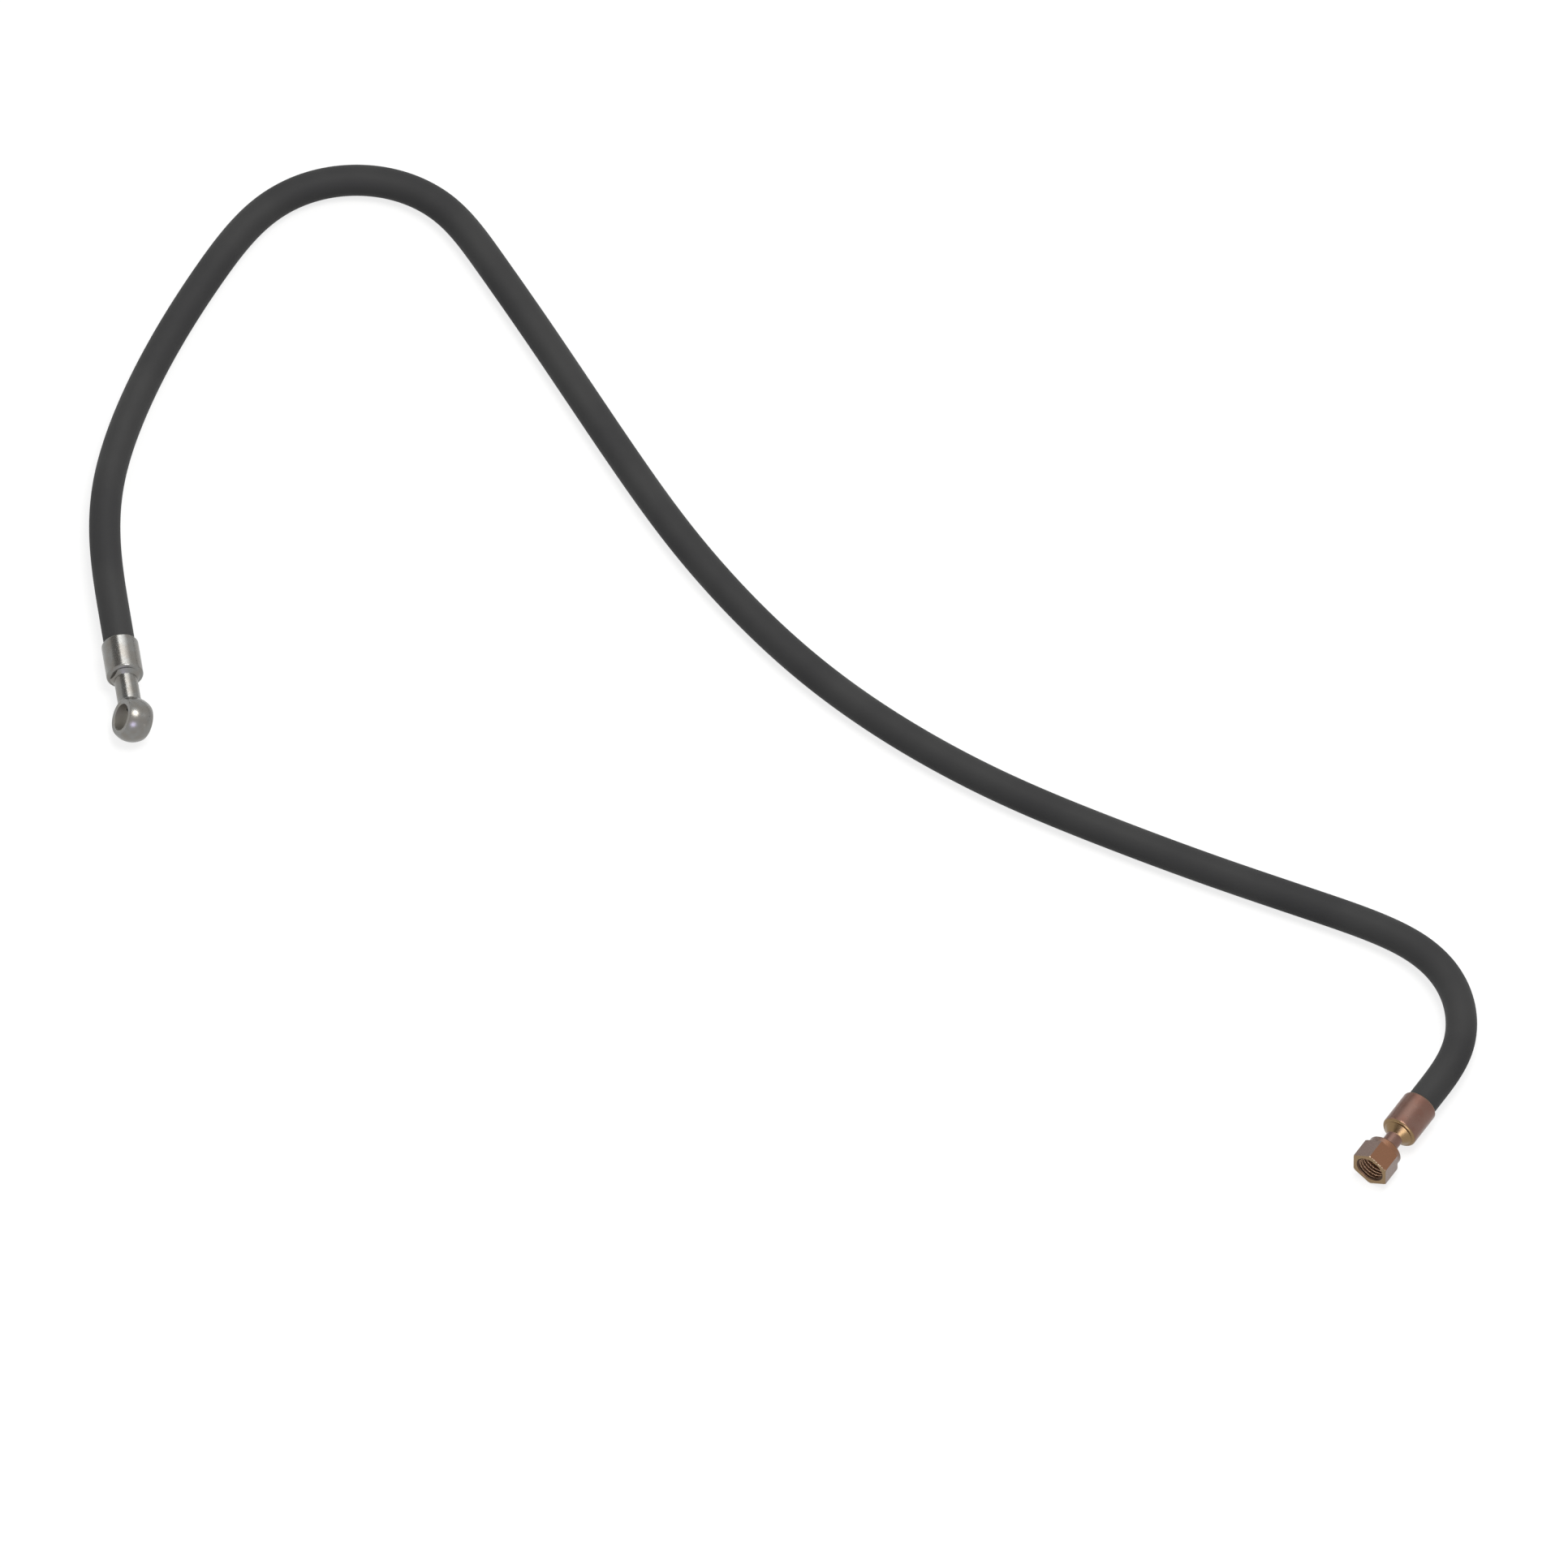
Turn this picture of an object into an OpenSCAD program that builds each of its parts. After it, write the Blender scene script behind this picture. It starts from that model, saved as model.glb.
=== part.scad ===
// Hydraulic hose with a banjo fitting at one end and a swivel nut at the other.
// It lies on the floor at z = 0. Each fitting is built on an axis that leaves the hose,
// with zero at the cut end of the hose. The origin is midway between the two fittings.

/* [Hose] */
// Bore of the rubber inner tube
tube_bore = 4.8; // [4.6:0.1:5.4]
// Wall of the inner tube
tube_wall = 1.75; // [1.5:0.05:2]
// Thickness of the braid, where two steel wires cross
braid_wall = 0.6; // [0.4:0.05:0.8]
// Wall of the rubber cover
cover_wall = 1.15; // [0.8:0.05:1.5]

/* [Ferrules] */
// Length of a ferrule
ferrule_len = 15.5; // [14:0.5:22]
// Wall of a ferrule round the hose
ferrule_wall = 1.1; // [0.9:0.1:2]
// Thickness of a ferrule's closed end
ferrule_end = 2; // [1.5:0.1:3]
// Radius of the rounded edge at the closed end
closed_edge = 1.2; // [0.4:0.1:1.4]
// Radius of the rounded edge at the mouth
mouth_edge = 0.6; // [0.2:0.1:0.8]
// Number of grips crimped into the cover
grip_count = 3; // [2:1:4]
// Width of a grip
grip_width = 1.6; // [1:0.1:2]
// How far a grip bites into the cover
grip_bite = 0.3; // [0.1:0.05:0.5]

/* [Tails] */
// Bore drilled through each fitting
passage_d = 3; // [2:0.1:3.4]
// Number of barbs on a tail
barb_count = 4; // [3:1:6]
// Height of a barb
barb_height = 0.25; // [0.1:0.05:0.4]
// How far a tail stops short of its ferrule's mouth
tail_short = 1; // [0.5:0.1:3]

/* [Banjo fitting] */
// Diameter of the ball that the eye is cut from
eye_d = 17; // [16:0.5:20]
// Thickness of the eye over its two sealing faces
eye_thick = 10; // [10:0.5:12]
// Bore for the hollow bolt
bolt_bore = 10.2; // [9.8:0.1:10.6]
// Length from the ferrule to the middle of the eye
eye_reach = 20.4; // [16:0.1:30]
// Diameter of the neck
banjo_neck_d = 8.9; // [7:0.1:9]
// Radius where the neck runs into the eye
neck_fillet = 1.2; // [0.5:0.1:1.2]
// Roll of the eye about the hose's axis, as it lies
eye_roll = 30; // [0:1:34]

/* [Swivel end] */
// Size of the nut across its flats
nut_af = 14; // [14:0.5:17]
// Length of the nut's hexagon
hex_len = 8.6; // [8:0.1:12]
// How far the hexagon's corners are cut back at its two faces
corner_cut = 0.35; // [0.2:0.05:1.2]
// How far the round shoulder behind the hexagon lies inside its flats
shoulder_step = 0.2; // [0.1:0.05:0.5]
// Length of the round shoulder
shoulder_len = 2.8; // [2.4:0.1:5]
// Chamfer at the back of the shoulder
shoulder_edge = 0.4; // [0.2:0.1:0.8]
// Thickness of the lip that holds the nut on the stem
lip_len = 1.2; // [1:0.1:1.8]
// Inside diameter of the nut's thread
thread_minor_d = 9.9; // [9.5:0.1:10.2]
// Outside diameter of the nut's thread
thread_major_d = 11.1; // [10.8:0.1:11.4]
// Width of the groove where the thread runs out
relief_len = 0.6; // [0.4:0.1:1]
// Visible length of the stem between ferrule and nut
stem_neck_len = 8.8; // [6:0.1:14]
// Diameter of the stem's neck
stem_neck_d = 6.6; // [5.6:0.1:7]
// Diameter of the stem's head inside the nut
head_d = 9.7; // [9.3:0.1:9.7]
// Length of the stem's head
head_len = 4; // [3.2:0.1:4.2]
// Width of the flat rim round the head's conical seat
seat_rim = 0.45; // [0.3:0.05:1]

/* [Fits] */
// Radial clearance between the turning nut and the stem
run_clear = 0.08; // [0.05:0.01:0.1]
// Axial clearance between the nut's lip and the stem's head
thrust_clear = 0.1; // [0.05:0.01:0.2]
// Lead-in at a ferrule's mouth and past a thread's crest
lead_in = 0.15; // [0.05:0.05:0.2]

/* [Hidden] */
$fn = 64;
// Cut past a surface, so that no skin is left
past = 1;
// Half angle of the conical seat, and slope of the nut's chamfers
seat_half_angle = 37;
chamfer_slope = 30;

braid_bore = tube_bore + 2 * tube_wall;
cover_bore = braid_bore + 2 * braid_wall;
cover_d = cover_bore + 2 * cover_wall;

// Ferrules and tails, along an axis that leaves the hose at its cut end
ferrule_r = cover_d / 2 + ferrule_wall;
mouth_at = ferrule_end - ferrule_len;
grip_pitch = -mouth_at / (grip_count + 0.5);
tail_r = tube_bore / 2;
tail_at = mouth_at + tail_short;
barb_pitch = -tail_at / (barb_count + 1);
eye_at = ferrule_end + eye_reach;
// Each fitting has a cone at its neck's foot, as wide as the ferrule's flat face
foot_r = ferrule_r - closed_edge;

// The nut and the stem's head, along the same axis
nut_back = ferrule_end + stem_neck_len;
hex_from = nut_back + shoulder_len;
nut_mouth = hex_from + hex_len;
nut_corner_r = nut_af / 2 / cos(30);
head_back = nut_back + lip_len + thrust_clear;
head_front = head_back + head_len;
relief_from = head_front + thrust_clear;
thread_from = relief_from + relief_len;

// The hose lies on the floor and rises to the axis of each fitting. The eye rests on
// its ball and the nut on a corner, so their radii give the heights.
floor_z = cover_d / 2;
banjo_z = eye_d / 2;
swivel_z = nut_corner_r;
banjo_at = [-224, 144];
swivel_at = [218, -136];
// The banjo's axis runs along -Y, and the swivel's is turned from it by this angle
swivel_turn = 40;
swivel_way = [-sin(swivel_turn), -cos(swivel_turn)];
// Places straight behind the cut ends, which keep the hose in line with its fittings
banjo_lead = 28;
swivel_lead = 20;
swivel_bend = 45;
// The hose is drawn towards these points in turn, from one cut end to the other
route = concat(
    [banjo_at, banjo_at + [0, banjo_lead]],
    [
        [-224, 204], [-219, 236], [-205, 270], [-187, 302], [-167, 331],
        [-145, 359], [-120, 370], [-94, 367], [-73, 351], [-62, 323],
        [-49, 289], [-36, 253], [-23, 217], [-9, 181], [9, 145],
        [31, 110], [59, 77], [93, 46], [130, 20], [168, -5],
        [205, -27], [238, -48], [250, -74]
    ],
    [swivel_at - swivel_bend * swivel_way, swivel_at - swivel_lead * swivel_way, swivel_at]
);
last = len(route) - 1;
hose_sides = 12;

// Share of a fitting's lift at the nth point from its end
function lift(n) = lookup(n, [[2, 1], [3, 0.75], [4, 0.25], [5, 0]]);
function height(i) =
    floor_z + (banjo_z - floor_z) * lift(i) + (swivel_z - floor_z) * lift(last - i);
function guide(i) =
    i < 0 ? 2 * guide(0) - guide(1) :
    i > last ? 2 * guide(last) - guide(last - 1) :
    [route[i].x, route[i].y, height(i)];
// Centre and direction of the smooth curve (a cubic spline) at each point
function centre(i) = (guide(i - 1) + 4 * guide(i) + guide(i + 1)) / 6;
function unit(v) = v / norm(v);
function way(i) = unit(guide(i + 1) - guide(i - 1));

// One ring of points round the curve, the first of them at the bottom
function ring(i, r) =
    let (side = unit(cross(way(i), [0, 0, 1])), up = cross(side, way(i)))
    [for (j = [0:hose_sides - 1])
        let (a = 360 * j / hose_sides)
        centre(i) + r * (sin(a) * side - cos(a) * up)];

// Triangles between two rings that start at points a and b
function band(a, b) = [
    for (j = [0:hose_sides - 1])
        let (k = (j + 1) % hose_sides)
        each [[a + j, b + k, a + k], [a + j, b + j, b + k]]
];

// One layer of the hose, a tube between two diameters
module hose_layer(inner_d, outer_d) {
    inner_from = hose_sides * (last + 1);
    points = concat(
        [for (i = [0:last]) each ring(i, outer_d / 2)],
        [for (i = [0:last]) each ring(i, inner_d / 2)]
    );
    outside = [for (i = [0:last - 1]) each band(i * hose_sides, (i + 1) * hose_sides)];
    // The same triangles turned over, so that the layers touch face to face
    inside = [for (f = outside) [f[0] + inner_from, f[2] + inner_from, f[1] + inner_from]];
    ends = concat(
        band(inner_from, 0),
        band(last * hose_sides, inner_from + last * hose_sides)
    );
    polyhedron(points, concat(outside, inside, ends));
}

module at_banjo_end() {
    translate([banjo_at.x, banjo_at.y, banjo_z])
        rotate([90, 0, 0])
            children();
}

module at_swivel_end() {
    translate([swivel_at.x, swivel_at.y, swivel_z])
        rotate([0, 0, -swivel_turn])
            rotate([90, 0, 0])
                children();
}

// Half section of a ferrule before its bore is cut, with both outer edges rounded
module ferrule_half() {
    mouth_r = ferrule_r - mouth_edge;
    closed_r = ferrule_r - closed_edge;
    mouth_y = mouth_at + mouth_edge;
    closed_y = ferrule_end - closed_edge;
    polygon([
        [0, mouth_at], [mouth_r, mouth_at], [ferrule_r, mouth_y],
        [ferrule_r, closed_y], [closed_r, ferrule_end], [0, ferrule_end]
    ]);
    translate([mouth_r, mouth_y])
        circle(mouth_edge);
    translate([closed_r, closed_y])
        circle(closed_edge);
}

function grip(y) = [
    [cover_d / 2, y + grip_width / 2],
    [cover_d / 2 - grip_bite, y + grip_width / 4],
    [cover_d / 2 - grip_bite, y - grip_width / 4],
    [cover_d / 2, y - grip_width / 2]
];

// A socket crimped over the hose: closed round the tail at one end, gripping inside
module ferrule() {
    bore = concat(
        [[0, ferrule_end + past], [tail_r, ferrule_end + past], [tail_r, 0], [cover_d / 2, 0]],
        [for (i = [1:grip_count]) each grip(-grip_pitch * (i - 0.25))],
        [
            [cover_d / 2, mouth_at + lead_in], [cover_d / 2 + lead_in, mouth_at],
            [cover_d / 2 + lead_in, mouth_at - past], [0, mouth_at - past]
        ]
    );
    rotate_extrude()
        difference() {
            ferrule_half();
            polygon(bore);
        }
}

// Outline of a barbed tail from its tip to the far side of the ferrule's closed end.
// Each barb rises away from the tip and drops off square, so the hose can't pull off.
function barb(y) = [
    [tail_r, y],
    [tail_r + barb_height, y + barb_pitch * 0.7],
    [tail_r, y + barb_pitch * 0.7]
];
tail_outline = concat(
    [[passage_d / 2, tail_at], [tail_r - barb_height, tail_at]],
    [for (i = [0:barb_count - 1]) each barb(tail_at + barb_pitch * (i + 0.5))],
    [[tail_r, ferrule_end]]
);

// Half section of the banjo fitting before its faces and bolt bore are cut, with a curve
// that fills the corner between the neck and the ball
module banjo_half() {
    neck_r = banjo_neck_d / 2;
    ball_r = eye_d / 2;
    curve_x = neck_r + neck_fillet;
    curve_y = eye_at - sqrt(pow(ball_r + neck_fillet, 2) - pow(curve_x, 2));
    touch = [0, eye_at] + [curve_x, curve_y - eye_at] * ball_r / (ball_r + neck_fillet);
    polygon(concat(
        tail_outline,
        [[foot_r, ferrule_end], [neck_r, ferrule_end + foot_r - neck_r]],
        [[neck_r, curve_y], [passage_d / 2, curve_y]]
    ));
    difference() {
        polygon([
            [passage_d / 2, curve_y], [curve_x, curve_y], touch, [passage_d / 2, touch.y]
        ]);
        translate([curve_x, curve_y])
            circle(neck_fillet);
    }
    difference() {
        intersection() {
            translate([0, eye_at])
                circle(ball_r);
            translate([0, touch.y])
                square(eye_d);
        }
        translate([0, touch.y - past])
            square([passage_d / 2, eye_at - touch.y + past]);
    }
}

module hose_cover() {
    color([0.16, 0.16, 0.17]) hose_layer(cover_bore, cover_d);
}

module wire_braid() {
    color([0.6, 0.6, 0.58]) hose_layer(braid_bore, cover_bore);
}

module inner_tube() {
    color([0.1, 0.1, 0.1]) hose_layer(tube_bore, braid_bore);
}

module banjo_ferrule() {
    color([0.56, 0.55, 0.52]) at_banjo_end() ferrule();
}

module banjo_fitting() {
    color([0.52, 0.5, 0.46])
        at_banjo_end()
            difference() {
                intersection() {
                    rotate_extrude()
                        banjo_half();
                    rotate([0, 0, -eye_roll])
                        cube([eye_thick, 4 * eye_reach, 4 * eye_reach], center = true);
                }
                translate([0, 0, eye_at])
                    rotate([0, 90, -eye_roll])
                        cylinder(d = bolt_bore, h = eye_thick + 2 * past, center = true);
            }
}

module swivel_ferrule() {
    color([0.5, 0.38, 0.3]) at_swivel_end() ferrule();
}

module swivel_stem() {
    neck_r = stem_neck_d / 2;
    seat_r = head_d / 2 - seat_rim;
    seat_depth = (seat_r - passage_d / 2) / tan(seat_half_angle);
    color([0.5, 0.42, 0.3])
        at_swivel_end()
            rotate_extrude()
                polygon(concat(
                    tail_outline,
                    [[foot_r, ferrule_end], [neck_r, ferrule_end + foot_r - neck_r]],
                    [[neck_r, head_back], [head_d / 2, head_back], [head_d / 2, head_front]],
                    [[seat_r, head_front], [passage_d / 2, head_front - seat_depth]]
                ));
}

// Half section of a round bar whose coned ends cut back the hexagon's corners
module coned_half() {
    face_r = nut_corner_r - corner_cut;
    reach = nut_corner_r + past;
    rise = (reach - face_r) * tan(chamfer_slope);
    polygon([
        [0, hex_from], [face_r, hex_from], [reach, hex_from + rise],
        [reach, nut_mouth - rise], [face_r, nut_mouth], [0, nut_mouth]
    ]);
}

module swivel_nut() {
    lip_r = stem_neck_d / 2 + run_clear;
    chamber_r = head_d / 2 + run_clear;
    lead_r = thread_major_d / 2 + lead_in;
    shoulder_r = nut_af / 2 - shoulder_step;
    color([0.52, 0.42, 0.3])
        at_swivel_end()
            difference() {
                union() {
                    intersection() {
                        translate([0, 0, hex_from])
                            rotate([0, 0, 30])
                                cylinder(r = nut_corner_r, h = hex_len, $fn = 6);
                        rotate_extrude()
                            coned_half();
                    }
                    rotate_extrude()
                        polygon([
                            [0, nut_back], [shoulder_r - shoulder_edge, nut_back],
                            [shoulder_r, nut_back + shoulder_edge],
                            [shoulder_r, hex_from], [0, hex_from]
                        ]);
                }
                rotate_extrude()
                    polygon([
                        [0, nut_back - past], [lip_r, nut_back - past],
                        [lip_r, nut_back + lip_len], [chamber_r, nut_back + lip_len],
                        [chamber_r, relief_from], [thread_major_d / 2, relief_from],
                        [thread_major_d / 2, thread_from], [thread_minor_d / 2, thread_from],
                        [thread_minor_d / 2, nut_mouth - lead_r + thread_minor_d / 2],
                        [lead_r, nut_mouth], [lead_r, nut_mouth + past], [0, nut_mouth + past]
                    ]);
            }
}

hose_cover();
wire_braid();
inner_tube();
banjo_ferrule();
banjo_fitting();
swivel_ferrule();
swivel_stem();
swivel_nut();
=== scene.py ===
import math

import bpy
from mathutils import Euler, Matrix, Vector


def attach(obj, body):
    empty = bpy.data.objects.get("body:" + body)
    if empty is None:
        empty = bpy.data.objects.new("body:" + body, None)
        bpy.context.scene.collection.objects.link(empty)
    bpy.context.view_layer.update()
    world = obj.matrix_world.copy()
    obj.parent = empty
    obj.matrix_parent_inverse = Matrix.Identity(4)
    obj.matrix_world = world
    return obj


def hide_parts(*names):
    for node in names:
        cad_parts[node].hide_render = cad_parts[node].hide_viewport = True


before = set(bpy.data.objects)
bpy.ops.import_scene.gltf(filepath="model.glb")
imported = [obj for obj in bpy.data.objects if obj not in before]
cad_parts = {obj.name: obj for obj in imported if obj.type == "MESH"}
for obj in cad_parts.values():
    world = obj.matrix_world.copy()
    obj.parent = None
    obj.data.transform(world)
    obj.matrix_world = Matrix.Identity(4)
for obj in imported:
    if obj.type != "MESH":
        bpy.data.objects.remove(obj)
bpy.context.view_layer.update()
scene = bpy.context.scene
scene.view_settings.view_transform = "Standard"
mm = 0.001


# The camera. A very long lens looks down on the hose from the front, a little from the left,
# so that the hose is as thick at its far end as at its near one.
picture_width = 586.4 * mm
picture_middle = Vector((13.2, 57.5, 8.5)) * mm
camera_height = math.radians(52)
camera_turn = math.radians(-8)
lens = 1500
sensor = 36
camera_tilt = Euler((math.radians(90) - camera_height, 0, camera_turn))
camera_back = camera_tilt.to_matrix() @ Vector((0, 0, 1))
bpy.ops.object.camera_add(
    location=picture_middle + camera_back * picture_width * lens / sensor,
    rotation=camera_tilt,
)
camera = bpy.context.object
camera.data.lens = lens
camera.data.sensor_width = sensor
camera.data.clip_end = 100
scene.camera = camera


# The hose, from one cut end to the other. Three layers are cured together: a black inner tube,
# a braid of steel wire and a smooth black cover. It lies flat on the floor in a loose S and
# rises a little at each end to the axis of its fitting.
cover_r = 5.9 * mm
braid_r = 4.75 * mm
tube_r = 4.15 * mm
bore_r = 2.4 * mm
hose_length = 0.935
banjo_cut = Vector((-0.224, 0.144))
swivel_cut = Vector((0.218, -0.136))
banjo_z = 8.5 * mm
flat_r = 7 * mm
corner_r = flat_r / math.cos(math.radians(30))
swivel_z = corner_r
swivel_turn = math.radians(40)
swivel_way = Vector((-math.sin(swivel_turn), -math.cos(swivel_turn)))
route = [banjo_cut, banjo_cut + Vector((0, 0.028))]
route += [
    Vector(point)
    for point in (
        (-0.224, 0.204), (-0.219, 0.236), (-0.205, 0.270), (-0.187, 0.302), (-0.167, 0.331),
        (-0.145, 0.359), (-0.120, 0.370), (-0.094, 0.367), (-0.073, 0.351), (-0.062, 0.323),
        (-0.049, 0.289), (-0.036, 0.253), (-0.023, 0.217), (-0.009, 0.181), (0.009, 0.145),
        (0.031, 0.110), (0.059, 0.077), (0.093, 0.046), (0.130, 0.020), (0.168, -0.005),
        (0.205, -0.027), (0.238, -0.048), (0.250, -0.074),
    )
]
route += [swivel_cut - 0.045 * swivel_way, swivel_cut - 0.020 * swivel_way, swivel_cut]

# Each end's guides are lifted from the height of a hose on the floor to their fitting's axis
lift = [1, 1, 1, 0.75, 0.25] + [0] * len(route)
last = len(route) - 1
guides = []
for i, point in enumerate(route):
    height = cover_r + (banjo_z - cover_r) * lift[i] + (swivel_z - cover_r) * lift[last - i]
    guides.append(Vector((point.x, point.y, height)))
guides = [2 * guides[0] - guides[1]] + guides + [2 * guides[-1] - guides[-2]]
sliver = 0.001 * mm
smooth_below = math.radians(35)


def pick(piece):
    """Selects one piece and nothing else."""
    bpy.ops.object.select_all(action="DESELECT")
    piece.select_set(True)
    bpy.context.view_layer.objects.active = piece


def apply(piece, kind, **settings):
    """Puts a modifier on a piece and applies it."""
    pick(piece)
    modifier = piece.modifiers.new(kind.lower(), kind)
    for setting, value in settings.items():
        setattr(modifier, setting, value)
    bpy.ops.object.modifier_apply(modifier=modifier.name)


def hand_over(piece, body, cad_node, finish):
    """Finishes a piece: slivers out, smooth faces, its material, its body and its CAD node."""
    pick(piece)
    bpy.ops.object.mode_set(mode="EDIT")
    bpy.ops.mesh.select_all(action="SELECT")
    bpy.ops.mesh.remove_doubles(threshold=sliver)
    bpy.ops.mesh.dissolve_degenerate(threshold=sliver)
    bpy.ops.object.mode_set(mode="OBJECT")
    bpy.ops.object.shade_smooth_by_angle(angle=smooth_below)
    apply(piece, "WEIGHTED_NORMAL", keep_sharp=True)
    piece.data.materials.clear()
    piece.data.materials.append(finish)
    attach(piece, body)
    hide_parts(cad_node)


def hose_layer(name, outer_r, inner_r, sides):
    """One layer: a smooth line through the route, given its round outside and then its wall."""
    bpy.ops.curve.primitive_nurbs_path_add(location=(0, 0, 0))
    layer = bpy.context.object
    layer.name = name
    layer.data.splines.clear()
    line = layer.data.splines.new("NURBS")
    line.points.add(len(guides) - 1)
    for point, guide in zip(line.points, guides):
        point.co = (*guide, 1)
    line.order_u = 4
    line.resolution_u = 12
    layer.data.bevel_depth = outer_r
    # A round bevel has four sides, and two more for each step of its resolution
    layer.data.bevel_resolution = (sides - 4) // 2
    pick(layer)
    bpy.ops.object.convert(target="MESH")
    layer = bpy.context.object
    points = [v.co.copy() for v in layer.data.vertices]
    middles = [
        sum(points[i:i + sides], Vector()) / sides for i in range(0, len(points), sides)
    ]
    apply(layer, "SOLIDIFY", thickness=outer_r - inner_r, offset=-1)
    return layer, middles


def node(tree, kind, inputs=None, **settings):
    """Adds one shader node. An input is a value, or another node's output."""
    made = tree.nodes.new("ShaderNode" + kind)
    for setting, value in settings.items():
        setattr(made, setting, value)
    for name, value in (inputs or {}).items():
        if isinstance(value, bpy.types.NodeSocket):
            tree.links.new(value, made.inputs[name])
        else:
            made.inputs[name].default_value = value
    return made


def blend(tree, share, first, second, kind="RGBA"):
    """Mixes two colours, or two plain values when kind is FLOAT."""
    mixed = node(tree, "Mix", {"Factor": share, "A": first, "B": second}, data_type=kind)
    return mixed.outputs["Result"]


def remap(tree, value, low=0.0, high=1.0, start=0.0, end=1.0, **settings):
    """Turns a value between low and high into one between start and end, and no further."""
    return node(tree, "MapRange", {
        "Value": value, "From Min": low, "From Max": high, "To Min": start, "To Max": end,
    }, **settings).outputs["Result"]


def reckon(tree, operation, *values):
    """One step of arithmetic."""
    return node(tree, "Math", dict(enumerate(values)), operation=operation).outputs["Value"]


def material(name, constants):
    """A material with a Principled shader, whose constants are set on its own sockets."""
    made = bpy.data.materials.new(name)
    made.use_nodes = True
    shader = made.node_tree.nodes["Principled BSDF"]
    for socket, value in constants.items():
        shader.inputs[socket].default_value = value
    return made, made.node_tree, shader


def group(name, inputs, outputs):
    """An empty node group with named sockets, for an effect that several materials use."""
    made = bpy.data.node_groups.new(name, "ShaderNodeTree")
    for socket, kind in inputs.items():
        made.interface.new_socket(socket, in_out="INPUT", socket_type="NodeSocket" + kind)
    for socket, kind in outputs.items():
        made.interface.new_socket(socket, in_out="OUTPUT", socket_type="NodeSocket" + kind)
    return made, made.nodes.new("NodeGroupInput"), made.nodes.new("NodeGroupOutput")


def use(tree, effect, inputs):
    """Places a shared effect in a material with the material's own values."""
    return node(tree, "Group", inputs, node_tree=effect)


# Patches: soft clouds from 0 to 1, for handling marks and uneven plating.
patches, taken, given = group(
    "patches", {"Place": "Vector", "Per Metre": "Float"}, {"Mask": "Float"}
)
cloud = node(patches, "TexNoise", {
    "Vector": taken.outputs["Place"], "Scale": taken.outputs["Per Metre"], "Detail": 3.0,
})
spread = remap(patches, cloud.outputs["Fac"], 0.35, 0.65, interpolation_type="SMOOTHSTEP")
patches.links.new(spread, given.inputs["Mask"])

hose_cover, centreline = hose_layer("hose_cover_rubber", cover_r, braid_r, 48)
wire_braid, _ = hose_layer("hose_wire_braid", braid_r, tube_r, 32)
inner_tube, _ = hose_layer("hose_inner_tube", tube_r, bore_r, 32)

# The cover's rubber is matt, with a fine grain and a little bloom where it was handled
rubber, tree, shader = material("cover_rubber", {"Specular IOR Level": 0.13})
coords = node(tree, "TexCoord")
handled = use(tree, patches, {"Place": coords.outputs["Object"], "Per Metre": 24.0})
shade = blend(tree, handled.outputs["Mask"], (0.040, 0.040, 0.041, 1), (0.049, 0.049, 0.049, 1))
tree.links.new(shade, shader.inputs["Base Color"])
gloss = remap(tree, handled.outputs["Mask"], start=0.64, end=0.56)
tree.links.new(gloss, shader.inputs["Roughness"])
grain = node(tree, "TexNoise", {
    "Vector": coords.outputs["Object"], "Scale": 1800.0, "Detail": 2.0,
})
skin = node(tree, "Bump", {
    "Height": grain.outputs["Fac"], "Strength": 0.25, "Distance": 0.03 * mm,
})
tree.links.new(skin.outputs["Normal"], shader.inputs["Normal"])

# The braid is woven from two sets of flat strands that wind round the tube in opposite
# directions. Each strand is four bright wires side by side and passes over one and under one.
strands = 12
wires = 4
braid_angle = math.radians(54.7)
strand_step = 2 * math.pi * braid_r / strands / math.tan(braid_angle)
wire, tree, shader = material("braid_wire", {"Metallic": 1.0})
coords = node(tree, "TexCoord")
split = node(tree, "SeparateXYZ", {"Vector": coords.outputs["UV"]})
along = reckon(tree, "MULTIPLY", split.outputs["X"], round(hose_length / strand_step))
heights = []
numbers = []
for winding in (strands, -strands):
    wound = reckon(tree, "MULTIPLY_ADD", split.outputs["Y"], winding, along)
    numbers.append(reckon(tree, "FLOOR", wound))
    turn = reckon(tree, "MULTIPLY", wound, wires * math.pi)
    heights.append(reckon(tree, "ABSOLUTE", reckon(tree, "SINE", turn)))
over = reckon(tree, "FLOORED_MODULO", reckon(tree, "ADD", *numbers), 2.0)
woven = blend(tree, over, *heights, kind="FLOAT")
# The wires' colour follows their height: bright on each wire's top and dark towards its edges and
# the grooves between wires, a painted shade.
shade = blend(tree, woven, (0.10, 0.10, 0.10, 1), (0.58, 0.57, 0.55, 1))
tree.links.new(shade, shader.inputs["Base Color"])
gloss = remap(tree, woven, start=0.55, end=0.3)
tree.links.new(gloss, shader.inputs["Roughness"])
weave = node(tree, "Bump", {"Height": woven, "Strength": 1.0, "Distance": 0.15 * mm})
tree.links.new(weave.outputs["Normal"], shader.inputs["Normal"])

# The inner tube's rubber is smooth and a little darker where the fluid has stained it
tube_rubber, tree, shader = material("tube_rubber", {"Specular IOR Level": 0.35})
coords = node(tree, "TexCoord")
clean = use(tree, patches, {"Place": coords.outputs["Object"], "Per Metre": 60.0})
shade = blend(tree, clean.outputs["Mask"], (0.018, 0.017, 0.016, 1), (0.030, 0.030, 0.029, 1))
tree.links.new(shade, shader.inputs["Base Color"])
gloss = remap(tree, clean.outputs["Mask"], start=0.35, end=0.5)
tree.links.new(gloss, shader.inputs["Roughness"])

hand_over(hose_cover, "hose", "hose_cover", rubber)
hand_over(wire_braid, "hose", "wire_braid", wire)
hand_over(inner_tube, "hose", "inner_tube", tube_rubber)


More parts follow.
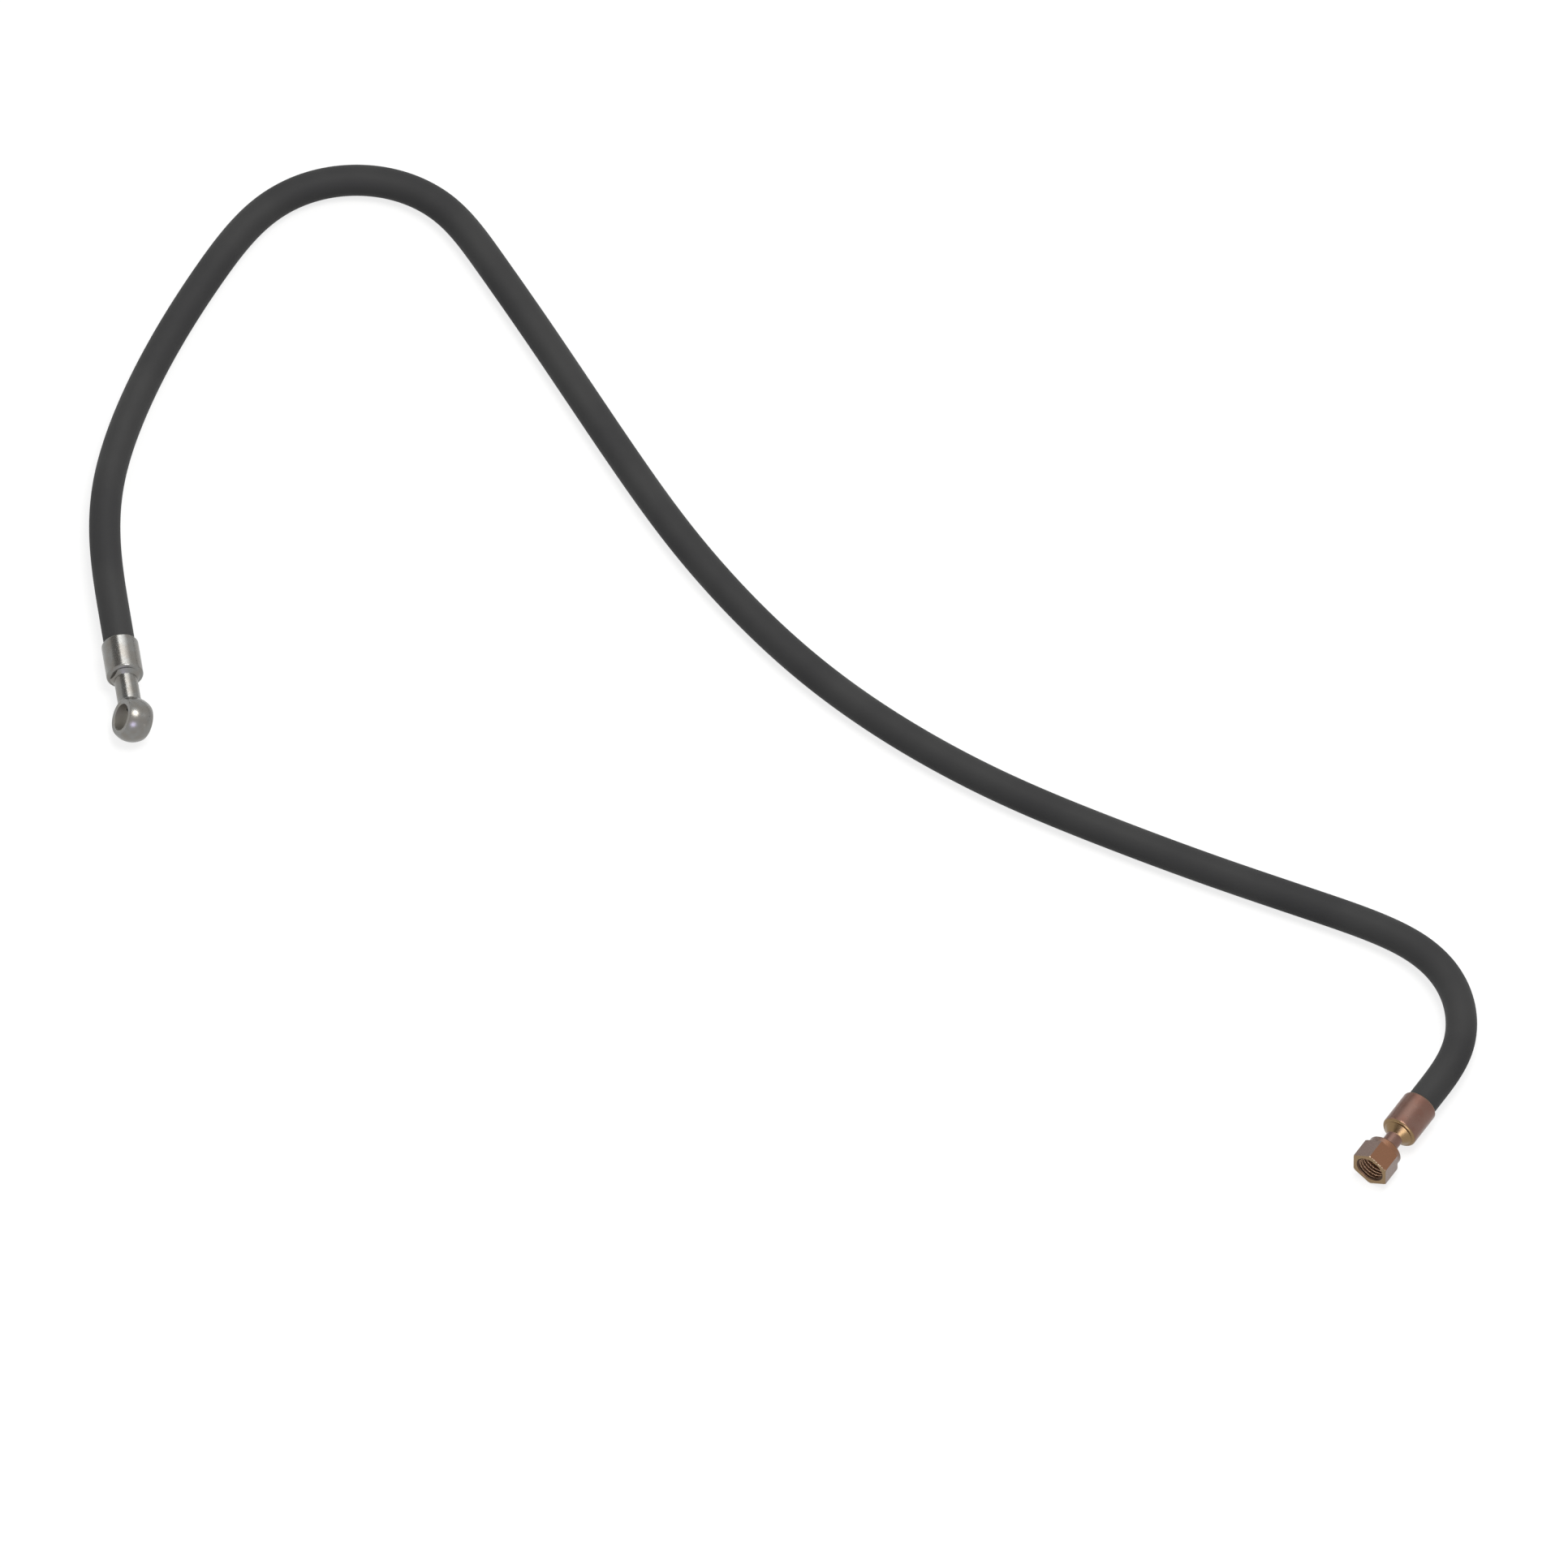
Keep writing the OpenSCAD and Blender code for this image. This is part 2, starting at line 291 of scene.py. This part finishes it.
# The two ferrules. Each is a turned steel socket, closed round the tail of its fitting and
# crimped over the hose, with rounded outer edges and three grips that bite into the cover.
# Each end of the hose has its own axis, which leaves the hose, with zero at the cut end.
banjo_end = (Vector((*banjo_cut, banjo_z)), Euler((math.radians(90), 0, 0)))
swivel_end = (Vector((*swivel_cut, swivel_z)), Euler((math.radians(90), 0, -swivel_turn)))
ferrule_r = cover_r + 1.1 * mm
ferrule_end = 2 * mm
mouth_at = -13.5 * mm
mouth_edge = 0.6 * mm
closed_edge = 1.2 * mm
lead_in = 0.15 * mm
grip_count = 3
grip_width = 1.6 * mm
grip_bite = 0.3 * mm
grip_pitch = -mouth_at / (grip_count + 0.5)
tail_r = bore_r
turned_steps = 96
eased_above = math.radians(32)
eye_at = ferrule_end + 20.4 * mm
eye_roll = math.radians(30)
bolt_r = 5.1 * mm


def arc(middle, r, start, end, steps=8):
    """Points on an arc, from one angle to another in degrees."""
    angles = [math.radians(start + (end - start) * i / steps) for i in range(steps + 1)]
    return [(middle[0] + r * math.cos(a), middle[1] + r * math.sin(a)) for a in angles]


def draw(name, outline):
    """Draws a closed outline of (radius, place) beside the Z axis, left in edit mode."""
    bpy.ops.object.select_all(action="DESELECT")
    bpy.ops.mesh.primitive_plane_add(size=mm, location=(0, 0, 0))
    piece = bpy.context.object
    piece.name = name
    bpy.ops.object.mode_set(mode="EDIT")
    bpy.ops.mesh.merge(type="CENTER")
    here = Vector((0, 0, 0))
    for count, (r, place) in enumerate(outline + outline[:1]):
        step = Vector((r, 0, place)) - here
        if count:
            bpy.ops.mesh.extrude_region_move(TRANSFORM_OT_translate={"value": step})
        else:
            bpy.ops.transform.translate(value=step)
        here += step
    bpy.ops.mesh.select_all(action="SELECT")
    bpy.ops.mesh.remove_doubles(threshold=sliver)
    return piece


def turned(name, outline, ease=0.12 * mm):
    """A piece turned on a lathe: an outline spun round the Z axis, its sharp edges eased."""
    piece = draw(name, outline)
    bpy.ops.mesh.spin(
        steps=turned_steps, angle=math.radians(360), center=(0, 0, 0), axis=(0, 0, 1)
    )
    bpy.ops.mesh.select_all(action="SELECT")
    bpy.ops.mesh.remove_doubles(threshold=sliver)
    bpy.ops.mesh.normals_make_consistent(inside=False)
    bpy.ops.object.mode_set(mode="OBJECT")
    if ease:
        apply(piece, "BEVEL", width=ease, segments=3, limit_method="ANGLE",
              angle_limit=eased_above, use_clamp_overlap=True)
    return piece


def put(piece, place, tilt):
    """Turns and moves a piece, and leaves its object at the origin."""
    pick(piece)
    piece.location = place
    piece.rotation_euler = tilt
    bpy.ops.object.transform_apply(location=True, rotation=True, scale=True)


grips = []
for i in range(grip_count):
    middle = -grip_pitch * (i + 0.75)
    grips += [
        (cover_r, middle + grip_width / 2), (cover_r - grip_bite, middle + grip_width / 4),
        (cover_r - grip_bite, middle - grip_width / 4), (cover_r, middle - grip_width / 2),
    ]
banjo_ferrule = turned("banjo_ferrule_shell", (
    arc((ferrule_r - mouth_edge, mouth_at + mouth_edge), mouth_edge, -90, 0)
    + arc((ferrule_r - closed_edge, ferrule_end - closed_edge), closed_edge, 0, 90)
    + [(tail_r, ferrule_end), (tail_r, 0), (cover_r, 0)] + grips
    + [(cover_r, mouth_at + lead_in), (cover_r + lead_in, mouth_at)]
))
pick(banjo_ferrule)
bpy.ops.object.duplicate()
swivel_ferrule = bpy.context.object
swivel_ferrule.name = "swivel_ferrule_shell"
put(banjo_ferrule, *banjo_end)
put(swivel_ferrule, *swivel_end)

# Tooling marks: fine rings that follow the lathe, and the grain of the plating over them.
# The place is measured from a piece's own axis, so that the rings run round it, and what faces
# along the axis is an end face.
tooling, taken, given = group(
    "tooling", {"Place": "Vector", "Axis": "Vector"},
    {"Rings": "Float", "Grain": "Float", "End Face": "Float"},
)
split = node(tooling, "SeparateXYZ", {"Vector": taken.outputs["Place"]})
flat = node(tooling, "CombineXYZ", {"X": split.outputs["X"], "Y": split.outputs["Y"]})
radius = node(tooling, "VectorMath", {0: flat.outputs["Vector"]}, operation="LENGTH")
unrolled = node(tooling, "CombineXYZ", {"X": radius.outputs["Value"], "Z": split.outputs["Z"]})
rings = node(tooling, "TexNoise", {
    "Vector": unrolled.outputs["Vector"], "Scale": 5000.0, "Detail": 2.0,
})
plating = node(tooling, "TexNoise", {
    "Vector": taken.outputs["Place"], "Scale": 2400.0, "Detail": 3.0, "Roughness": 0.6,
})
tooling.links.new(rings.outputs["Fac"], given.inputs["Rings"])
tooling.links.new(plating.outputs["Fac"], given.inputs["Grain"])
coords = node(tooling, "TexCoord")
along = node(tooling, "VectorMath", {
    0: coords.outputs["Normal"], 1: taken.outputs["Axis"],
}, operation="DOT_PRODUCT")
along_size = reckon(tooling, "ABSOLUTE", along.outputs["Value"])
end_face = remap(tooling, along_size, 0.15, 0.6, interpolation_type="SMOOTHSTEP")
tooling.links.new(end_face, given.inputs["End Face"])


def own_place(tree, place, tilt):
    """The shaded point, measured from an end's own axis."""
    coords = node(tree, "TexCoord")
    return node(tree, "Mapping", {
        "Vector": coords.outputs["Object"], "Location": place, "Rotation": tilt,
    }, vector_type="TEXTURE").outputs["Vector"]


def rough_plating(tree, shader, place, axis, smooth, faced, depth):
    """A fine relief of rings and grain. The uneven gloss, rougher on faced ends, is returned."""
    marks = use(tree, tooling, {"Place": place, "Axis": axis})
    turned_gloss = remap(tree, marks.outputs["Grain"], 0.3, 0.7, smooth, smooth + 0.12)
    gloss = blend(tree, marks.outputs["End Face"], turned_gloss, faced, kind="FLOAT")
    relief = blend(tree, 0.35, marks.outputs["Grain"], marks.outputs["Rings"], kind="FLOAT")
    skin = node(tree, "Bump", {"Height": relief, "Strength": 1.0, "Distance": depth})
    tree.links.new(skin.outputs["Normal"], shader.inputs["Normal"])
    return gloss


# Clear zinc plate on the banjo end: grey, cooler in clouds, and brighter in the bore, partly for
# its bare machined finish and partly as painted light that lifts the shade inside it.
banjo_axis = banjo_end[1].to_matrix() @ Vector((0, 0, 1))
bolt_axis = Vector((math.cos(eye_roll), -math.sin(eye_roll), 0))
zinc, tree, shader = material("zinc_plate", {"Metallic": 1.0})
place = own_place(tree, *banjo_end)
clouds = use(tree, patches, {"Place": place, "Per Metre": 230.0})
plate = blend(tree, clouds.outputs["Mask"], (0.196, 0.186, 0.170, 1), (0.212, 0.212, 0.204, 1))
from_eye = node(tree, "VectorMath", {0: place, 1: (0, 0, eye_at)}, operation="SUBTRACT")
from_bolt = node(tree, "VectorMath", {
    0: from_eye.outputs["Vector"], 1: bolt_axis,
}, operation="CROSS_PRODUCT")
bolt_distance = node(tree, "VectorMath", {0: from_bolt.outputs["Vector"]}, operation="LENGTH")
machined_and_lit_bore = remap(
    tree, bolt_distance.outputs["Value"], bolt_r + 0.1 * mm, bolt_r + 0.02 * mm
)
# The bore's lighter grey is partly its bare machined steel and partly painted light against its
# shade.
shade = blend(tree, machined_and_lit_bore, plate, (0.30, 0.285, 0.255, 1))
tree.links.new(shade, shader.inputs["Base Color"])
plated = rough_plating(
    tree, shader, place, banjo_axis, smooth=0.20, faced=0.28, depth=0.012 * mm
)
gloss = blend(tree, machined_and_lit_bore, plated, 0.5, kind="FLOAT")
tree.links.new(gloss, shader.inputs["Roughness"])

# Yellow film on the swivel end's zinc: cloudy brown on round work, paler and mauve where it is
# thin, and olive gold on what faces along the hose, a painted reflection tint set by which way
# each face turns.
swivel_axis = swivel_end[1].to_matrix() @ Vector((0, 0, 1))
film, taken, given = group("film", {"Place": "Vector", "Thin": "Float"}, {"Color": "Color"})
clouds = use(film, patches, {"Place": taken.outputs["Place"], "Per Metre": 210.0})
brown = blend(film, clouds.outputs["Mask"], (0.184, 0.110, 0.089, 1), (0.175, 0.094, 0.073, 1))
mauve = blend(film, taken.outputs["Thin"], brown, (0.225, 0.175, 0.152, 1))
marks = use(film, tooling, {"Place": taken.outputs["Place"], "Axis": swivel_axis})
# Faces that turn along the hose are painted olive gold: a painted reflection tint.
film_with_reflection_tint = blend(film, marks.outputs["End Face"], mauve, (0.235, 0.155, 0.080, 1))
film.links.new(film_with_reflection_tint, given.inputs["Color"])

passivate, tree, shader = material("yellow_passivate", {"Metallic": 1.0})
place = own_place(tree, *swivel_end)
film_with_reflection_tint = use(tree, film, {"Place": place, "Thin": 0.0})
tree.links.new(film_with_reflection_tint.outputs["Color"], shader.inputs["Base Color"])
plated = rough_plating(
    tree, shader, place, swivel_axis, smooth=0.26, faced=0.34, depth=0.010 * mm
)
tree.links.new(plated, shader.inputs["Roughness"])

hand_over(banjo_ferrule, "hose", "banjo_ferrule", zinc)
hand_over(swivel_ferrule, "hose", "swivel_ferrule", passivate)


# The banjo fitting: one forged and turned piece of steel. A ball is milled flat on two sides
# and bored for the hollow bolt, a neck joins it to the ferrule, and a barbed tail in the hose
# carries the fluid through a drilled passage into the bore.
passage_r = 1.5 * mm
barb_count = 4
barb_height = 0.25 * mm
tail_at = mouth_at + 1 * mm
barb_pitch = -tail_at / (barb_count + 1)
ball_r = 8.5 * mm
eye_half = 5 * mm
banjo_neck_r = 4.45 * mm
foot_r = ferrule_r - closed_edge
neck_fillet = 1.2 * mm
blend_depth = 0.02 * mm
neck_stop = 6 * mm
past = 1 * mm

tail = [(tail_r - barb_height, tail_at)]
for i in range(barb_count):
    foot = tail_at + barb_pitch * (i + 0.5)
    top = foot + barb_pitch * 0.7
    tail += [(tail_r, foot), (tail_r + barb_height, top), (tail_r, top)]
tail += [(tail_r, ferrule_end)]


def combine(piece, other, operation):
    """Joins another solid to a piece, or cuts it with it, and deletes the other."""
    apply(piece, "BOOLEAN", object=other, operation=operation, solver="EXACT")
    bpy.data.objects.remove(other)


# The neck and its flats meet the eye a hair inside it, so that the two join in a clean line
curve_x = banjo_neck_r + neck_fillet
curve_y = eye_at - math.sqrt((ball_r - blend_depth + neck_fillet) ** 2 - curve_x ** 2)
curve_end = math.degrees(math.atan2(eye_at - curve_y, -curve_x))
banjo = turned("banjo_eye_and_tail", (
    [(0, tail_at)] + tail
    + [(foot_r, ferrule_end), (banjo_neck_r, ferrule_end + foot_r - banjo_neck_r)]
    + arc((curve_x, curve_y), neck_fillet, 180, curve_end, 10)
    + [(banjo_neck_r, eye_at - neck_stop), (0, eye_at - neck_stop)]
), ease=0)
pick(banjo)
bpy.ops.object.mode_set(mode="EDIT")
for side in (1, -1):
    bpy.ops.mesh.select_all(action="SELECT")
    bpy.ops.mesh.bisect(
        plane_co=bolt_axis * side * (eye_half - blend_depth), plane_no=bolt_axis * side,
        use_fill=True, clear_outer=True,
    )
bpy.ops.object.mode_set(mode="OBJECT")
flat_angle = math.degrees(math.asin(eye_half / ball_r))
eye = turned("banjo_eye", (
    [(bolt_r, eye_half), (bolt_r, -eye_half)]
    + arc((0, 0), ball_r, -flat_angle, flat_angle, 24)
), ease=0.15 * mm)
put(eye, (0, 0, eye_at), Euler((0, math.radians(90), -eye_roll)))
combine(banjo, eye, "UNION")
bpy.ops.object.select_all(action="DESELECT")
bpy.ops.mesh.primitive_cylinder_add(
    vertices=48, radius=passage_r, depth=eye_at - tail_at,
    location=(0, 0, (eye_at + tail_at) / 2 - past),
)
combine(banjo, bpy.context.object, "DIFFERENCE")
put(banjo, *banjo_end)
hand_over(banjo, "hose", "banjo_fitting", zinc)


# The swivel stem: one turned piece of steel. Its barbed tail is in the hose, its neck, with a
# cone at its foot, shows between the ferrule and the nut, and its head inside the nut has the
# cone that seals.
nut_back = 10.8 * mm
hex_from = 13.6 * mm
nut_mouth = 22.2 * mm
stem_neck_r = 3.3 * mm
head_r = 4.85 * mm
head_back = 12.1 * mm
head_front = 16.1 * mm
seat_r = head_r - 0.45 * mm
seat_angle = math.radians(37)
seat_depth = (seat_r - passage_r) / math.tan(seat_angle)
stem = turned("swivel_stem_and_tail", (
    [(passage_r, tail_at)] + tail
    + [(foot_r, ferrule_end), (stem_neck_r, ferrule_end + foot_r - stem_neck_r),
       (stem_neck_r, head_back), (head_r, head_back), (head_r, head_front),
       (seat_r, head_front), (passage_r, head_front - seat_depth)]
), ease=0.08 * mm)
put(stem, *swivel_end)
hand_over(stem, "hose", "swivel_stem", passivate)


# The swivel nut: a hexagon of steel bar with a round shoulder behind it. A lip at the back runs
# on the stem, and a 20 per inch thread runs from a groove behind it to the mouth.
lip_r = stem_neck_r + 0.08 * mm
chamber_r = head_r + 0.08 * mm
lip_front = 12 * mm
relief_from = 16.2 * mm
thread_from = 16.8 * mm
thread_minor_r = 4.95 * mm
thread_major_r = 5.55 * mm
pitch = 1.27 * mm
flank_slope = math.tan(math.radians(30))
thread_turns = 5
thread_steps = 72
mouth_r = thread_major_r + 0.15 * mm
corner_cut = 0.35 * mm
cone_slope = math.tan(math.radians(30))
shoulder_r = flat_r - 0.2 * mm
shoulder_edge = 0.4 * mm

bpy.ops.object.select_all(action="DESELECT")
bpy.ops.mesh.primitive_cylinder_add(
    vertices=6, radius=corner_r, depth=nut_mouth - hex_from,
    location=(0, 0, (nut_mouth + hex_from) / 2),
)
nut = bpy.context.object
nut.name = "swivel_nut_hex"
bpy.ops.object.transform_apply(location=True, rotation=True, scale=True)
rise = (corner_cut + past) * cone_slope
bar = turned("nut_bar", [
    (0, hex_from), (corner_r - corner_cut, hex_from), (corner_r + past, hex_from + rise),
    (corner_r + past, nut_mouth - rise), (corner_r - corner_cut, nut_mouth), (0, nut_mouth),
], ease=0)
combine(nut, bar, "INTERSECT")
apply(nut, "BEVEL", width=0.1 * mm, segments=2, limit_method="ANGLE",
      angle_limit=math.radians(25))
shoulder = turned("nut_shoulder", [
    (0, nut_back), (shoulder_r - shoulder_edge, nut_back),
    (shoulder_r, nut_back + shoulder_edge), (shoulder_r, hex_from + past), (0, hex_from + past),
], ease=0)
combine(nut, shoulder, "UNION")
bore = turned("nut_bore", [
    (0, nut_back - past), (lip_r, nut_back - past), (lip_r, lip_front), (chamber_r, lip_front),
    (chamber_r, relief_from), (thread_major_r, relief_from), (thread_major_r, thread_from),
    (thread_minor_r, thread_from), (thread_minor_r, nut_mouth - mouth_r + thread_minor_r),
    (mouth_r, nut_mouth), (mouth_r, nut_mouth + past), (0, nut_mouth + past),
], ease=0)
combine(nut, bore, "DIFFERENCE")

# The tap: a ridge with 60 degree flanks, wound up through the bore from the groove
ridge_inner = thread_minor_r - 0.3 * mm
ridge_foot = pitch * 3 / 8
ridge_top = ridge_foot - (thread_major_r - thread_minor_r) * flank_slope
ridge_from = relief_from + ridge_foot + 0.02 * mm
ridge_outline = [
    (r, ridge_from + place)
    for r, place in (
        (ridge_inner, -ridge_foot), (thread_minor_r, -ridge_foot),
        (thread_major_r, -ridge_top), (thread_major_r, ridge_top),
        (thread_minor_r, ridge_foot), (ridge_inner, ridge_foot),
    )
]
tap = draw("nut_tap", ridge_outline)
bpy.ops.object.mode_set(mode="OBJECT")
apply(tap, "SCREW", screw_offset=pitch, iterations=thread_turns, steps=thread_steps,
      render_steps=thread_steps)
bpy.ops.object.mode_set(mode="EDIT")
bpy.ops.mesh.select_all(action="SELECT")
bpy.ops.mesh.fill_holes(sides=0)
bpy.ops.mesh.normals_make_consistent(inside=False)
bpy.ops.object.mode_set(mode="OBJECT")
combine(nut, tap, "DIFFERENCE")
put(nut, *swivel_end)

# The film on the nut is thin, but one flat is painted orange as a painted reflection tint, the
# inside of the bore is painted lighter, with a painted highlight on the thread's crests, and the
# bore's mouth is painted dark as a painted shade. A spanner has rubbed small spots of the film
# off one front edge, and these are painted bright enough to stand as glints: wear and painted
# highlight.
upper_angle = math.radians(60)
upper_way = Vector((math.cos(upper_angle), math.sin(upper_angle), 0))
upper_flat = swivel_end[1].to_matrix() @ upper_way
nut_film, tree, shader = material("nut_passivate", {"Metallic": 1.0})
place = own_place(tree, *swivel_end)
coords = node(tree, "TexCoord")
film_with_reflection_tint = use(tree, film, {"Place": place, "Thin": 0.7})
facing = node(tree, "VectorMath", {
    0: coords.outputs["Normal"], 1: upper_flat,
}, operation="DOT_PRODUCT")
# One flat is tinted orange by which way it faces: a painted reflection tint.
upper_flat_reflection = remap(tree, facing.outputs["Value"], 0.6, 1.0, interpolation_type="SMOOTHSTEP")
orange = blend(tree, upper_flat_reflection, film_with_reflection_tint.outputs["Color"], (0.225, 0.112, 0.066, 1))
split = node(tree, "SeparateXYZ", {"Vector": place})
flat = node(tree, "CombineXYZ", {"X": split.outputs["X"], "Y": split.outputs["Y"]})
radius = node(tree, "VectorMath", {0: flat.outputs["Vector"]}, operation="LENGTH")
# Inside the bore the colour is painted lighter against its shade, and brightest on the thread's
# crests, a painted highlight.
crest_highlight = remap(
    tree, radius.outputs["Value"], thread_major_r - 0.05 * mm, thread_minor_r + 0.1 * mm
)
thread_painted_light = blend(tree, crest_highlight, (0.26, 0.165, 0.105, 1), (0.50, 0.33, 0.22, 1))
# The bore's mouth is painted dark: a painted shade.
mouth_shade = remap(tree, split.outputs["Z"], nut_mouth - 1.5 * mm, nut_mouth - 1.1 * mm)
shaded_mouth = blend(tree, mouth_shade, thread_painted_light, (0.080, 0.048, 0.032, 1))
inside = remap(tree, radius.outputs["Value"], mouth_r, mouth_r - 0.1 * mm)
lined = blend(tree, inside, orange, shaded_mouth)
# Rubbed spots on one front edge, where the film is worn off, painted bright as glints: wear and
# painted highlight.
rim = remap(tree, split.outputs["Z"], nut_mouth - 0.4 * mm, nut_mouth - 0.1 * mm)
out = node(tree, "VectorMath", {0: place, 1: upper_way}, operation="DOT_PRODUCT")
edge = remap(tree, out.outputs["Value"], flat_r - 0.4 * mm, flat_r - 0.1 * mm)
specks = node(tree, "TexNoise", {"Vector": place, "Scale": 1600.0, "Detail": 2.0})
wear_and_glint_specks = remap(tree, specks.outputs["Fac"], 0.52, 0.58)
wear_and_glint = reckon(tree, "MULTIPLY", reckon(tree, "MULTIPLY", rim, edge), wear_and_glint_specks)
finish = blend(tree, wear_and_glint, lined, (0.75, 0.60, 0.46, 1))
tree.links.new(finish, shader.inputs["Base Color"])
plated = rough_plating(
    tree, shader, place, swivel_axis, smooth=0.26, faced=0.34, depth=0.010 * mm
)
gloss = blend(tree, inside, plated, 0.45, kind="FLOAT")
tree.links.new(gloss, shader.inputs["Roughness"])
hand_over(nut, "nut", "swivel_nut", nut_film)


# The floor is white paper that still takes the hose's shadow. Seen by the camera and in the
# metal it is mostly its own white; to everything else it is a pale matt sheet.
def seen_rays(tree):
    """1 for what the camera sees, straight, in metal or through glass, and 0 for other rays."""
    ray = node(tree, "LightPath").outputs
    mirrored = reckon(tree, "MAXIMUM", ray["Is Camera Ray"], ray["Is Glossy Ray"])
    return reckon(tree, "MAXIMUM", mirrored, ray["Is Transmission Ray"])


bpy.ops.object.select_all(action="DESELECT")
bpy.ops.mesh.primitive_plane_add(size=60)
floor = bpy.context.object
floor.name = "floor"
paper = bpy.data.materials.new("white_paper")
paper.use_nodes = True
tree = paper.node_tree
tree.nodes.clear()
matt = node(tree, "BsdfDiffuse", {"Color": (0.36, 0.36, 0.36, 1)})
shaded = node(tree, "BsdfDiffuse", {"Color": (0.30, 0.30, 0.30, 1)})
glow = node(tree, "Emission", {"Color": (1, 1, 1, 1), "Strength": 0.78})
white = node(tree, "AddShader", {0: shaded.outputs["BSDF"], 1: glow.outputs["Emission"]})
surface = node(tree, "MixShader", {
    0: seen_rays(tree), 1: matt.outputs["BSDF"], 2: white.outputs["Shader"],
})
back = node(tree, "NewGeometry")
under = node(tree, "MixShader", {
    0: back.outputs["Backfacing"], 1: surface.outputs["Shader"],
    2: node(tree, "BsdfTransparent").outputs["BSDF"],
})
node(tree, "OutputMaterial", {"Surface": under.outputs["Shader"]})
floor.data.materials.append(paper)

# The light: an even white room, a large round lamp almost overhead and a weaker lilac one in
# front. Small cards close to the fittings, seen only in metal, give it its bright and dark
# streaks.
world = bpy.data.worlds.new("white_room")
scene.world = world
world.use_nodes = True
tree = world.node_tree
level = remap(tree, seen_rays(tree), start=0.5, end=1.0)
background = tree.nodes["Background"]
background.inputs["Color"].default_value = (1, 1, 1, 1)
tree.links.new(level, background.inputs["Strength"])


def lamp(name, way, far, across, power, colour, on_rubber):
    """A round lamp that shines on the middle of the hose, on its rubber too or on metal only."""
    middle = Vector((0, 0.1, 0))
    way = Vector(way).normalized()
    bpy.ops.object.light_add(
        type="AREA", location=middle + way * far, rotation=way.to_track_quat("Z", "Y").to_euler()
    )
    made = bpy.context.object
    made.name = name
    made.data.shape = "DISK"
    made.data.size = across
    made.data.energy = power
    made.data.color = colour
    made.visible_camera = False
    made.visible_diffuse = on_rubber


lamp(
    "overhead_lamp", way=(0.17, -0.06, 0.98), far=3, across=1.5, power=44,
    colour=(1, 0.99, 0.97), on_rubber=True,
)
lamp(
    "front_lamp", way=(-0.13, -0.87, 0.48), far=3, across=1.15, power=15,
    colour=(0.71, 0.64, 1), on_rubber=False,
)


def card(name, facing, offset, size, glows):
    """A card that faces a point from an offset, seen in metal only, with a glow for each side."""
    offset = Vector(offset)
    bpy.ops.object.select_all(action="DESELECT")
    bpy.ops.mesh.primitive_plane_add(
        size=1, location=Vector(facing) + offset,
        rotation=offset.to_track_quat("Z", "Y").to_euler(),
    )
    made = bpy.context.object
    made.name = name
    made.scale = (*size, 1)
    glow = bpy.data.materials.new(name)
    glow.use_nodes = True
    tree = glow.node_tree
    tree.nodes.clear()
    coords = node(tree, "TexCoord")
    split = node(tree, "SeparateXYZ", {"Vector": coords.outputs["Object"]})
    strength = remap(tree, split.outputs["X"], 0.5, -0.5, *glows)
    lit = node(tree, "Emission", {"Strength": strength})
    node(tree, "OutputMaterial", {"Surface": lit.outputs["Emission"]})
    made.data.materials.append(glow)
    made.visible_camera = False
    made.visible_diffuse = False
    made.visible_shadow = False


card("bright_card", banjo_end[0], (0.050, 0.214, 0.272), (0.44, 0.11), (8.0, 1.0))
card("dark_card", banjo_end[0], (-0.155, 0.209, 0.219), (0.30, 0.20), (0.40, 0.25))
over_neck = banjo_end[0] + Vector((0, -0.0055, 0.027))
card("ball_card", over_neck, (0, -0.01, 0), (0.04, 0.03), (1.0, 1.0))
card("swivel_bright_card", swivel_end[0], (0.037, 0.207, 0.280), (0.17, 0.15), (1.7, 1.7))
card("swivel_grey_card", swivel_end[0], (-0.084, 0.309, 0.141), (0.15, 0.09), (0.6, 0.6))
card("swivel_dark_card", swivel_end[0], (-0.099, -0.078, 0.081), (0.11, 0.08), (0.15, 0.15))
card("cone_card", swivel_end[0], (-0.021, -0.092, 0.034), (0.035, 0.035), (7.0, 7.0))
mouth_middle = swivel_end[0] + swivel_axis * nut_mouth
card("thread_card", mouth_middle, (-0.0415, -0.0265, 0.0075), (0.030, 0.020), (5.0, 5.0))
